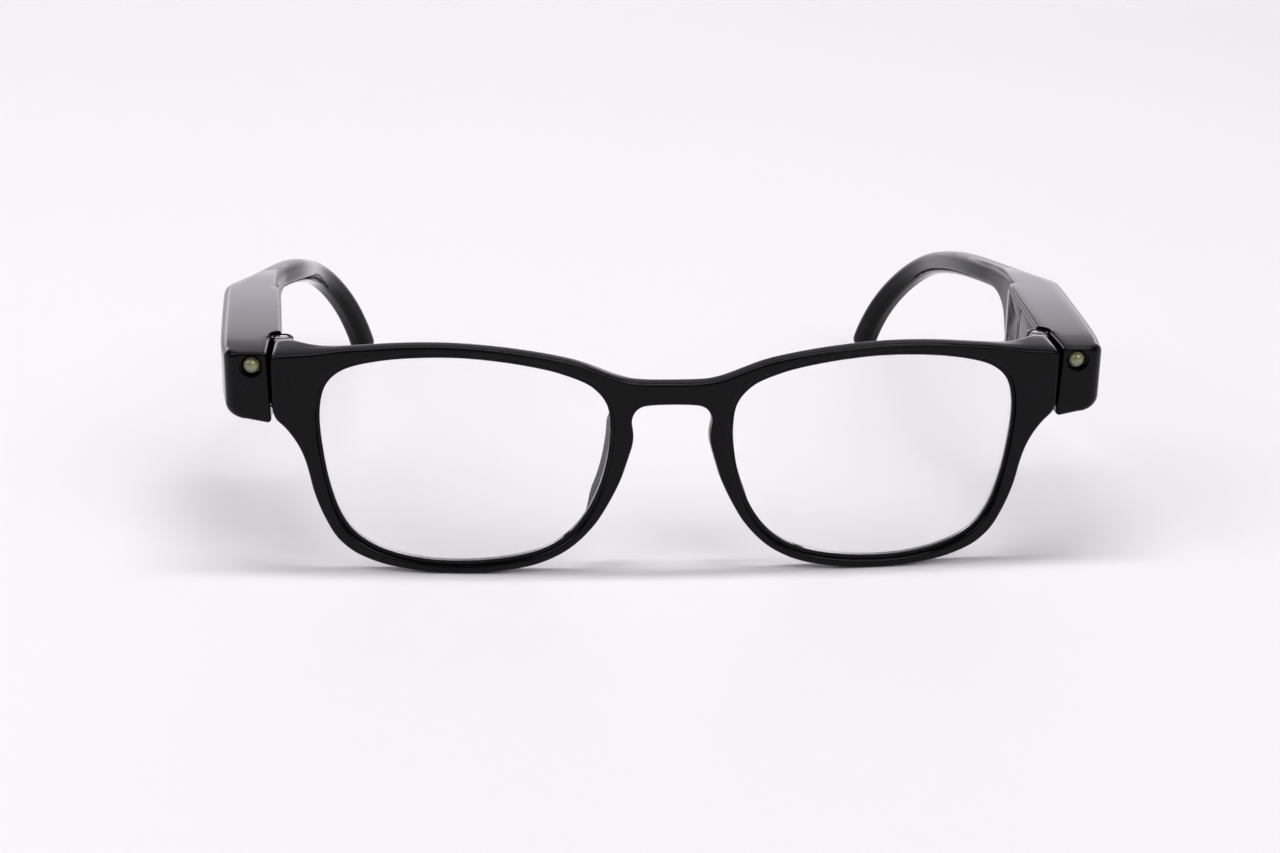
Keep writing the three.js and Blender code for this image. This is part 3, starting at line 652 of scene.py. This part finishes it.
for o in joined:
    me = o.data
    bpy.data.objects.remove(o)
    bpy.data.meshes.remove(me)
piece(ob, "front", ["front_frame"])


# ---------------------------------------------------------------- lenses
def lens_mesh():
    nn = normals2(openR)
    edge = openR + nn * 0.55
    edge = edge[::2]
    c = np.array([33.4, 19.8])
    ym, te, tm, bow = 1.475, 1.3, 2.2, 0.95
    qs = [1.0, 0.985, 0.95, 0.88, 0.8, 0.7, 0.6, 0.5, 0.4, 0.3, 0.2, 0.1]
    n = len(edge)
    verts, faces = [], []
    fronts = lambda q: ym - te / 2 - bow * (1 - q * q) + (0.12 if q == 1.0 else 0)
    backs = lambda q: ym + te / 2 - (bow - (tm - te)) * (1 - q * q) - (0.12 if q == 1.0 else 0)
    base = []
    for f in (fronts, backs):
        b0 = len(verts)
        for q in qs:
            p = c + (edge - c) * q
            verts += [(x, f(q) + WRAP * x * x, z) for x, z in p]
        verts.append((c[0], f(0) + WRAP * c[0] ** 2, c[1]))
        base.append(b0)
    m = len(qs)
    for b0 in base:
        for k in range(m - 1):
            for i in range(n):
                j = (i + 1) % n
                faces.append((b0 + k * n + i, b0 + k * n + j, b0 + (k + 1) * n + j, b0 + (k + 1) * n + i))
        for i in range(n):
            faces.append((b0 + (m - 1) * n + i, b0 + (m - 1) * n + (i + 1) % n, b0 + m * n))
    for i in range(n):
        j = (i + 1) % n
        faces.append((base[0] + i, base[0] + j, base[1] + j, base[1] + i))
    return verts, faces


def lens_edge_and_sheen_mesh():
    """The ground bevel that runs round the lens, seen just inside the wall of the opening; a light grey ring behind the
    lens whose colour is partly a painted reflection.
    """
    nn = normals2(openR)
    rows = [(-0.02, 2.16), (0.14, 2.5), (0.32, 2.9), (0.32, 2.96), (0.26, 3.0), (-0.06, 3.0), (-0.10, 2.9), (-0.10, 2.2)]
    verts, faces = [], []
    n = len(openR)
    for inset, y in rows:
        q = openR - nn * inset
        verts += [(x, y + WRAP * x * x, z) for x, z in q]
    m = len(rows)
    for k in range(m):
        a, c = k * n, ((k + 1) % m) * n
        for i in range(n):
            j = (i + 1) % n
            faces.append((a + i, a + j, c + j, c + i))
    return verts, faces


lv, lf = lens_mesh()
ev, ef = lens_edge_and_sheen_mesh()
for s, tag in ((1, "left"), (-1, "right")):
    # light grey edge ring: partly frosted glass, partly painted reflection inside the opening
    o = make_object(f"lens_edge_{tag}", mirrored(np.array(ev, float), s), ef, LENS_EDGE_AND_SHEEN, 40)
    piece(o, "front", [])
    o = make_object(f"lens_visual_{tag}", mirrored(lv, s), lf, LENS, 30)
    piece(o, "front", [f"lens_{tag}"])

# ---------------------------------------------------------------- temple shell
PSI = math.radians(4.57)
WALL_X, WALL_Y = 63.35, 18.0


def wall_x(y):
    return WALL_X + (y - WALL_Y) * math.tan(PSI)


def splay(part):
    """Inner parts are laid out square with the housing's inner wall at x = 65, then turned with the housing."""
    v = np.array(part[0], float)
    u, w = v[:, 0] - X_IN_FACE, v[:, 1] - WALL_Y
    c, n = math.cos(PSI), math.sin(PSI)
    return np.c_[WALL_X + u * c + w * n, WALL_Y + w * c - u * n, v[:, 2]], part[1]


X_OUT = [[4.2, 71.3], [6.2, 71.65], [9, 72.2], [13, 72.8], [18, 73.3], [25, 73.9], [35, 74.68], [43.5, 75.3], [45, 75.36], [46.6, 75.1], [48.4, 74.4], [50.2, 73.55], [52, 72.65], [54, 71.8],
         [56, 71.05], [58, 70.5], [60, 70.05], [62, 69.75]]
X_IN_FRONT = 64.75
X_IN = [[44.3, wall_x(44.3)], [44.9, 66.25], [51, 66.35], [56, 66.15], [58, 66.0], [60, 65.85], [62, 65.7]]
LEAN = 0.4
Z_LOW = [[4.2, 25.45], [46.3, 25.45], [46.9, 25.7], [47.6, 26.75], [48.2, 28.15], [49.0, 29.65], [50.2, 30.9], [52, 31.8],
         [54.5, 32.35], [58, 32.7], [62, 32.5]]
Z_TOP = [[4.2, 37.26], [6.2, 37.34], [9, 37.41], [12, 37.45], [54, 37.5], [58, 37.4], [62, 37.0]]
ARM = {
    "left": [[57, 68.55, 35.0], [62, 67.75, 34.75], [68.5, 66.7, 34.1], [79.4, 65.9, 32.4], [91.5, 65.7, 29.75], [105.6, 65.7, 25.95], [111.5, 65.35, 24.0],
             [116.9, 64.3, 21.5], [120.5, 63.1, 19.1], [123.3, 61.75, 16.4], [126.7, 59.4, 11.7], [129.0, 57.85, 7.0], [130.6, 56.9, 2.5]],
    "right": [[57, 68.5, 35.05], [62, 67.65, 34.8], [68.5, 66.2, 34.05], [74.1, 65.35, 32.9], [82, 64.95, 30.9], [90.8, 64.75, 28.6], [101, 64.7, 25.9],
              [111.5, 64.25, 22.95], [118.3, 62.75, 20.1], [122.4, 60.9, 16.9], [126.1, 58.5, 12.3], [128.5, 56.75, 7.6], [130.6, 55.45, 2.4]],
}
ARM_A, ARM_TIP_A, ARM_B = 2.05, 2.45, 2.25
CS = 10


def ring(x0, x1, z0i, z0o, z1, r, lean=0.0, side_n=6):
    """Rounded rectangle with separate radii (bottom-in, bottom-out, top-out, top-in), with points along its sides."""
    c = [(x0 - lean + r[0], z0i + r[0], r[0], 1.0), (x1 - r[1], z0o + r[1], r[1], 1.5), (x1 - r[2], z1 - r[2], r[2], 0.0),
         (x0 + r[3], z1 - r[3], r[3], 0.5)]
    out = []
    for k, (cx, cz, rr, a0) in enumerate(c):
        for i in range(CS + 1):
            a = math.pi * (a0 + 0.5 * i / CS)
            out.append((cx + rr * math.cos(a), cz + rr * math.sin(a)))
        nx, nz, nr, na = c[(k + 1) % 4]
        p = np.array(out[-1])
        q = np.array([nx + nr * math.cos(math.pi * na), nz + nr * math.sin(math.pi * na)])
        for i in range(1, side_n):
            out.append(tuple(p + (q - p) * i / side_n))
    return np.array(out)


def temple_rings(arm):
    rings = []
    for d in (0, 0.015, 0.05, 0.11, 0.19, 0.3, 0.42, 0.56, 0.72, 0.9, 1.1, 1.35, 1.65, 2.0):
        inset = lambda R: 0 if d >= R else R - math.sqrt(max(0, R * R - (R - d) ** 2))
        s, o, b_ = inset(0.55), inset(2.0), inset(0.6)
        y = 4.2 + d
        r = [max(0.35, v - 0.3 * (s + b_)) for v in (0.6, 2.4, 1.2, 0.6)]
        p = ring(X_IN_FRONT + s, float(table(X_OUT, y)) - o, 25.45 + b_, 26.15 + b_, float(table(Z_TOP, y)) - s, r, LEAN)
        rings.append(np.c_[p[:, 0], np.full(len(p), y), p[:, 1]])
    ys = [7.0, 8.0, 9.0, 10.0, 11.5, 13.2, 14.4] + list(np.arange(16, 44, 2.0)) + [44.2, 44.35, 44.5, 44.65, 44.8, 44.95, 45.3, 45.8, 46.2] + list(np.arange(46.5, 62.01, 0.45))
    for y in ys:
        t = float(smooth(46, 59, y))
        x0, x1, z0, z1 = (float(table(T, y)) for T in (X_IN, X_OUT, Z_LOW, Z_TOP))
        if y < 44.3:
            x0 = wall_x(y) if y > 14 else X_IN_FRONT
        tilt = 0.7 * (1 - float(smooth(44.5, 48.5, y)))
        radii = [a + (1.75 - a) * t for a in (0.6, 2.6, 1.4, 0.6)]
        m = min((x1 - x0) / 2, (z1 - z0) / 2) - 0.02
        p = ring(x0, x1, z0, z0 + tilt, z1, [min(r, m) for r in radii], LEAN if y < 14 else 0.0)
        rings.append(np.c_[p[:, 0], np.full(len(p), y), p[:, 1]])
    a = np.array(arm, float)
    path = centripetal(np.c_[a[:, 1], a[:, 0], a[:, 2]], False, 60)
    s = np.r_[0, np.cumsum(np.linalg.norm(np.diff(path, axis=0), axis=1))]
    # start where the housing ends
    s0 = np.interp(62.0, path[:, 1], s)
    ts = np.linspace(s0, s[-1], 76)[1:]
    at = lambda t: np.array([np.interp(t, s, path[:, k]) for k in range(3)])

    def push(c, T, ha, hb):
        U = np.array([T[1], -T[0], 0.0])
        U /= np.linalg.norm(U)
        V = np.cross(U, T)
        V /= np.linalg.norm(V)
        r = min(1.75 * min(ha / ARM_A, hb / ARM_B), min(ha, hb) - 0.02)
        p = ring(-ha, ha, -hb, -hb, hb, [r] * 4)
        rings.append(c + p[:, :1] * U + p[:, 1:] * V)

    for i, t in enumerate(ts):
        T = at(min(t + 0.6, s[-1])) - at(t - 0.6)
        T /= np.linalg.norm(T)
        w = float(smooth(0, 0.12, (i + 1) / len(ts)))
        T = np.array([0, 1.0, 0]) * (1 - w) + T * w
        T /= np.linalg.norm(T)
        push(at(t), T, ARM_A + (ARM_TIP_A - ARM_A) * float(smooth(0.35, 0.9, (i + 1) / len(ts))), 2.2 + (ARM_B - 2.2) * w)
    T = at(s[-1]) - at(s[-1] - 0.6)
    T /= np.linalg.norm(T)
    for i in range(1, 9):
        f = math.sin(math.pi / 2 * i / 8)
        k = math.cos(math.pi / 2 * i / 8)
        push(at(s[-1]) + T * 1.95 * f, T, ARM_TIP_A * max(k, 0.06) ** 0.8, ARM_B * max(k, 0.06) ** 0.8)
    # even the rings out along the length where the housing runs into the ear piece, and along the ear piece
    R = np.array(rings)
    ym = R[:, :, 1].mean(axis=1)
    w = (smooth(47.0, 54.0, ym) * (1 - smooth(128.5, 130.4, ym)))[:, None, None]
    for _ in range(36):
        avg = R.copy()
        d0 = np.linalg.norm(R[1:-1] - R[:-2], axis=2).mean(axis=1)[:, None, None]
        d1 = np.linalg.norm(R[2:] - R[1:-1], axis=2).mean(axis=1)[:, None, None]
        mid = (R[:-2] * d1 + R[2:] * d0) / (d0 + d1)
        avg[1:-1] = 0.5 * R[1:-1] + 0.5 * mid
        R = R * (1 - w) + avg * w
    lowest = R[:, :, 2].min()
    R[:, :, 2] -= lowest * smooth(100, 127, R[:, :, 1])
    return list(R)


def loft(rings):
    n = len(rings[0])
    verts = [tuple(p) for r in rings for p in r]
    faces = []
    for k in range(len(rings) - 1):
        for i in range(n):
            j = (i + 1) % n
            faces.append((k * n + i, (k + 1) * n + i, (k + 1) * n + j, k * n + j))
    for k in (0, len(rings) - 1):
        c = len(verts)
        verts.append(tuple(np.mean(rings[k], axis=0)))
        for i in range(n):
            faces.append((c, k * n + i, k * n + (i + 1) % n))
    return verts, faces


COVER_Y, DOOR_Y, COVER_Z = (17.6, 30.55), (30.75, 42.3), (26.65, 36.35)
for s, tag in ((1, "left"), (-1, "right")):
    body = f"temple_{tag}"
    shell_v, shell_f = loft(temple_rings(ARM[tag]))
    o = make_object(f"temple_visual_{tag}", mirrored(shell_v, s), shell_f, BLACK, 40)

    def cutter(v, f):
        return make_object("cutter", mirrored(v, s), f, BLACK, 30)

    cuts = [
        cutter(*revolve([(0, 24.0), (2.2, 24.0), (2.2, 40.0), (0, 40.0)], (HINGE[0], HINGE[1], 0), (0, 0, 1), 72)),
        cutter(*revolve([(0, 3.0), (2.02, 3.0), (1.85, 4.35), (1.85, 5.0), (1.65, 5.05), (1.65, 11.0), (0, 11.0)], (LED_X, 0, LED_Z), (0, 1, 0), 72)),
        cutter(*splay(slab_x(rounded_rect(COVER_Y[0] - 0.13, DOOR_Y[1] + 0.13, COVER_Z[0] - 0.13, COVER_Z[1] + 0.13, 0.7), [(64.0, 0), (66.3, 0)]))),
        cutter(*block(66.35, 70.9, 7.4, 18.6, 27.3, 35.9)),
        cutter(*splay(block(66.2, 72.3, 17.9, 30.2, 27.3, 35.9))),
        cutter(*splay(revolve([(0, 66.1), (4.85, 66.1), (4.85, 72.9), (0, 72.9)], (0, 36.4, 31.5), (1, 0, 0), 64))),
    ]
    boolean(o, cuts)
    # middle knuckle on the housing's inner wall
    z0, z1 = KNUCKLES["temple"]
    kv, kf = knuckle_mesh(z0, z1, False)
    k = make_object("knuckle", mirrored(kv, s), kf, BLACK, 40)
    nv, nf = block(HINGE[0] + 0.95, X_IN_FACE + 0.85, HINGE[1] - 1.5, HINGE[1] + 1.5, z0 + 0.02, z1 - 0.02)
    n = make_object("neck", mirrored(nv, s), nf, BLACK, 30)
    bevel(n, 0.15, 3)
    bm = bmesh.new()
    bm.from_mesh(o.data)
    for x in (k, n):
        bm.from_mesh(x.data)
    bm.to_mesh(o.data)
    bm.free()
    for x in (k, n):
        me = x.data
        bpy.data.objects.remove(x)
        bpy.data.meshes.remove(me)
    shade(o, 38)
    piece(o, body, [f"temple_shell_{tag}"])

    # inner cover and battery door: plates with rounded edges and screw wells
    def plate(y0, y1, name, wells, extra=None):
        v, f = slab_x(rounded_rect(y0, y1, COVER_Z[0], COVER_Z[1], 0.55),
                      [(65.0, 0.16), (65.02, 0.09), (65.07, 0.03), (65.16, 0), (66.15, 0)])
        v, f = splay((v, f))
        p = make_object(name, mirrored(v, s), f, BLACK_COVER, 30)
        cc = []
        for wy, wz in wells:
            cc.append(cutter(*splay(revolve([(0, 64.0), (1.12, 64.0), (0.98, 65.06), (0.98, 65.68), (0, 65.68)], (0, wy, wz), (1, 0, 0), 48))))
        if extra:
            cc.append(cutter(*splay(extra)))
        boolean(p, cc)
        shade(p, 30)
        return p

    hole = revolve([(0, 64.0), (2.42, 64.0), (2.25, 65.1), (2.25, 66.6), (0, 66.6)], (0, 23.5, 31.5), (1, 0, 0), 64)
    p = plate(*COVER_Y, f"inner_cover_visual_{tag}", [(28.3, 28.5)], hole)
    piece(p, body, [f"inner_cover_{tag}"])
    grip = slab_x(rounded_rect(32.0, 32.7, 29.2, 33.8, 0.34), [(64.5, 0), (65.28, 0)])
    p = plate(*DOOR_Y, f"battery_door_visual_{tag}", [(41.1, 27.85)], grip)
    piece(p, body, [f"battery_door_{tag}"])

    def screw(y, z, name, node):
        v, f = revolve([(0, 65.1), (0.5, 65.1), (0.7, 65.13), (0.82, 65.22), (0.85, 65.32), (0.85, 65.6), (0.42, 65.6), (0.42, 69.2), (0.2, 69.4), (0, 69.4)],
                       (0, y, z), (1, 0, 0), 40)
        v, f = splay((v, f))
        q = make_object(name, mirrored(v, s), f, STEEL, 35)
        boolean(q, [cutter(*splay(block(64.0, 65.34, y - 0.56, y + 0.56, z - 0.09, z + 0.09))),
                    cutter(*splay(block(64.0, 65.341, y - 0.09, y + 0.09, z - 0.56, z + 0.56)))])
        shade(q, 30)
        return piece(q, body, [node])

    screw(28.3, 28.5, f"cover_screw_visual_{tag}", f"cover_screw_{tag}")
    screw(41.1, 27.85, f"battery_door_screw_visual_{tag}", f"battery_door_screw_{tag}")

    # switch button: domed cap with a raised rim and a shallow dish
    prof = [(0, 64.66), (0.7, 64.65), (1.2, 64.62), (1.42, 64.57), (1.6, 64.55), (1.78, 64.58), (1.92, 64.7), (2.0, 64.9), (2.0, 65.9),
            (1.2, 65.9), (1.2, 67.1), (0, 67.1)]
    v, f = splay(revolve(prof, (0, 23.5, 31.5), (1, 0, 0), 64))
    q = make_object(f"switch_button_visual_{tag}", mirrored(v, s), f, BUTTON, 40)
    piece(q, f"switch_{tag}", [f"switch_button_{tag}"])

    # lamp: clear dome around a reflector cup with a phosphor disc
    prof = [(0, 3.95), (0.25, 3.965), (0.5, 4.03), (0.75, 4.14), (0.95, 4.3), (1.13, 4.5), (1.28, 4.75), (1.39, 5.05), (1.45, 5.4), (1.45, 8.9), (1.55, 8.95), (1.55, 9.45), (0, 9.45)]
    v, f = revolve(prof, (LED_X, 0, LED_Z), (0, 1, 0), 64)
    q = make_object(f"lamp_dome_{tag}", mirrored(v, s), f, DOME, 40)
    piece(q, body, [f"lamp_{tag}"])
    prof = [(0, 5.55), (0.66, 5.55), (1.12, 5.1), (1.2, 5.08), (1.24, 5.2), (1.1, 8.6), (0, 8.6)]
    v, f = revolve(prof, (LED_X, 0, LED_Z), (0, 1, 0), 48)
    q = make_object(f"lamp_cup_{tag}", mirrored(v, s), f, CUP, 40)
    piece(q, body, [])
    prof = [(0, 5.3), (0.3, 5.31), (0.5, 5.35), (0.6, 5.42), (0.62, 5.54), (0, 5.54)]
    v, f = revolve(prof, (LED_X, 0, LED_Z), (0, 1, 0), 48)
    q = make_object(f"lamp_phosphor_{tag}", mirrored(v, s), f, PHOS, 40)
    piece(q, body, [])

    # hinge screw: slotted head in the top knuckle
    v, f = revolve([(0, 27.05), (0.5, 27.05), (0.65, 27.2), (0.65, 36.37), (1.2, 36.37), (1.2, 36.85), (1.12, 36.96), (0.9, 37.02), (0, 37.02)],
                   (HINGE[0], HINGE[1], 0), (0, 0, 1), 48)
    q = make_object(f"hinge_screw_visual_{tag}", mirrored(v, s), f, STEEL, 35)
    boolean(q, [cutter(*block(HINGE[0] - 2, HINGE[0] + 2, HINGE[1] - 0.14, HINGE[1] + 0.14, 36.7, 38))])
    shade(q, 30)
    piece(q, "front", [f"hinge_screw_{tag}"])

# inner pieces keep their CAD shapes and get their finishes
for tag in ("left", "right"):
    for node, mat in ((f"circuit_board_{tag}", BOARD), (f"switch_body_{tag}", SWITCH), (f"coin_cell_inner_{tag}", CELL_STEEL),
                      (f"coin_cell_outer_{tag}", CELL_STEEL), (f"contact_negative_{tag}", NICKEL), (f"contact_positive_{tag}", NICKEL)):
        n = frame["nodes"][node]
        n.data.materials.clear()
        n.data.materials.append(mat)

# ---------------------------------------------------------------- stage
FLOOR, nt, b = new_material("pale_table")
fn = noise(nt, 3, 2)
fr = ramp(nt, fn.outputs["Fac"], [(0.3, (0.868, 0.857, 0.872)), (0.7, (0.878, 0.867, 0.882))])
nt.links.new(fr.outputs[0], b.inputs["Base Color"])
b.inputs["Roughness"].default_value = 0.55
b.inputs["Specular IOR Level"].default_value = 0.25

verts, faces = [], []
xs = (-3.0, 3.0)
prof = [(-3.0, 0.0), (1.2, 0.0)]
for i in range(1, 13):
    a = math.pi / 2 * i / 12
    prof.append((1.2 + 0.9 * math.sin(a), 0.9 * (1 - math.cos(a))))
prof.append((2.1, 3.2))
for y, z in prof:
    for x in xs:
        verts.append((x, y, z))
for i in range(len(prof) - 1):
    faces.append((2 * i, 2 * i + 1, 2 * i + 3, 2 * i + 2))
me = bpy.data.meshes.new("backdrop")
me.from_pydata(verts, [], faces)
for p in me.polygons:
    p.use_smooth = True
bd = bpy.data.objects.new("backdrop", me)
bpy.context.scene.collection.objects.link(bd)
me.materials.append(FLOOR)


def area(name, loc, target, size, energy, color=(1, 1, 1), spread=None):
    l = bpy.data.lights.new(name, "AREA")
    l.shape = "RECTANGLE"
    l.size, l.size_y = size
    l.energy = energy
    l.color = color
    if spread:
        l.spread = math.radians(spread)
    o = bpy.data.objects.new(name, l)
    bpy.context.scene.collection.objects.link(o)
    o.location = loc
    d = Vector(target) - Vector(loc)
    o.rotation_euler = d.to_track_quat("-Z", "Y").to_euler()
    return o


def toward(d, r, target=(0, -0.01, 0.0)):
    v = Vector(d).normalized() * r
    return tuple(Vector(target) + v)


# two large soft lights from the front right and the left, a low bright wall behind that fades upwards, and a
# strip overhead that draws the thin lines along the upper edges
area("key_right", toward((0.55, -0.92, 1.0), 2.0), (0, -0.01, 0), (1.2, 1.2), 12.3, (1.0, 0.99, 1.0))
area("key_left", toward((-1.0, -0.43, 1.0), 2.0), (0, -0.01, 0), (1.2, 1.2), 12.3, (1.0, 0.99, 1.0))
area("overhead", (0.0, 0.0, 1.5), (0, -0.01, 0.0), (1.3, 0.16), 12.8, (1.0, 0.985, 1.0))


def wall_light(name, z0, z1, radiance, y=1.15, width=2.6):
    zc = (z0 + z1) / 2
    l = area(name, (0.0, y, zc), (0.0, 0.0, zc), (width, z1 - z0), radiance * math.pi * width * (z1 - z0), (1.0, 0.93, 1.03))
    return l


wall_light("wall_low", 0.00, 0.13, 0.75)
wall_light("wall_mid", 0.13, 0.24, 1.25)
wall_light("wall_0", 0.24, 0.335, 2.45)
wall_light("wall_1", 0.335, 0.36, 2.05)
wall_light("wall_2", 0.36, 0.385, 1.55)
wall_light("wall_3", 0.385, 0.415, 1.0)
wall_light("wall_4", 0.415, 0.45, 0.5)
wall_light("wall_5", 0.45, 0.50, 0.22)
for tag, s in (("left", -1), ("right", 1)):
    area(f"side_{tag}", (1.2 * s, 0.25, 0.2), (0.0, 0.02, 0.03), (1.1, 0.4), 0.75 * math.pi * 1.1 * 0.4, (1.0, 0.96, 1.0))

w = bpy.data.worlds.new("studio")
bpy.context.scene.world = w
w.use_nodes = True
bg = w.node_tree.nodes["Background"]
bg.inputs[0].default_value = (0.97, 0.955, 1.0, 1)
bg.inputs[1].default_value = 0.12

# ---------------------------------------------------------------- camera
cam_d = bpy.data.cameras.new("camera")
cam = bpy.data.objects.new("camera", cam_d)
bpy.context.scene.collection.objects.link(cam)
R = Vector((0.99637968, -0.083164, 0.01764337))
U = Vector((0.00972319, 0.31764602, 0.94815952))
F = Vector((0.08445708, 0.94455532, -0.31730466))
C = Vector((-0.03410121, -0.38927429, 0.13412443))
cam.matrix_world = Matrix(((R.x, U.x, -F.x, C.x), (R.y, U.y, -F.y, C.y), (R.z, U.z, -F.z, C.z), (0, 0, 0, 1)))
cam_d.sensor_fit = "HORIZONTAL"
cam_d.sensor_width = 36.0
cam_d.lens = 2121.0 / 1280.0 * 36.0
cam_d.clip_start = 0.01
cam_d.clip_end = 20
bpy.context.scene.camera = cam
bpy.context.scene.view_settings.view_transform = "Standard"
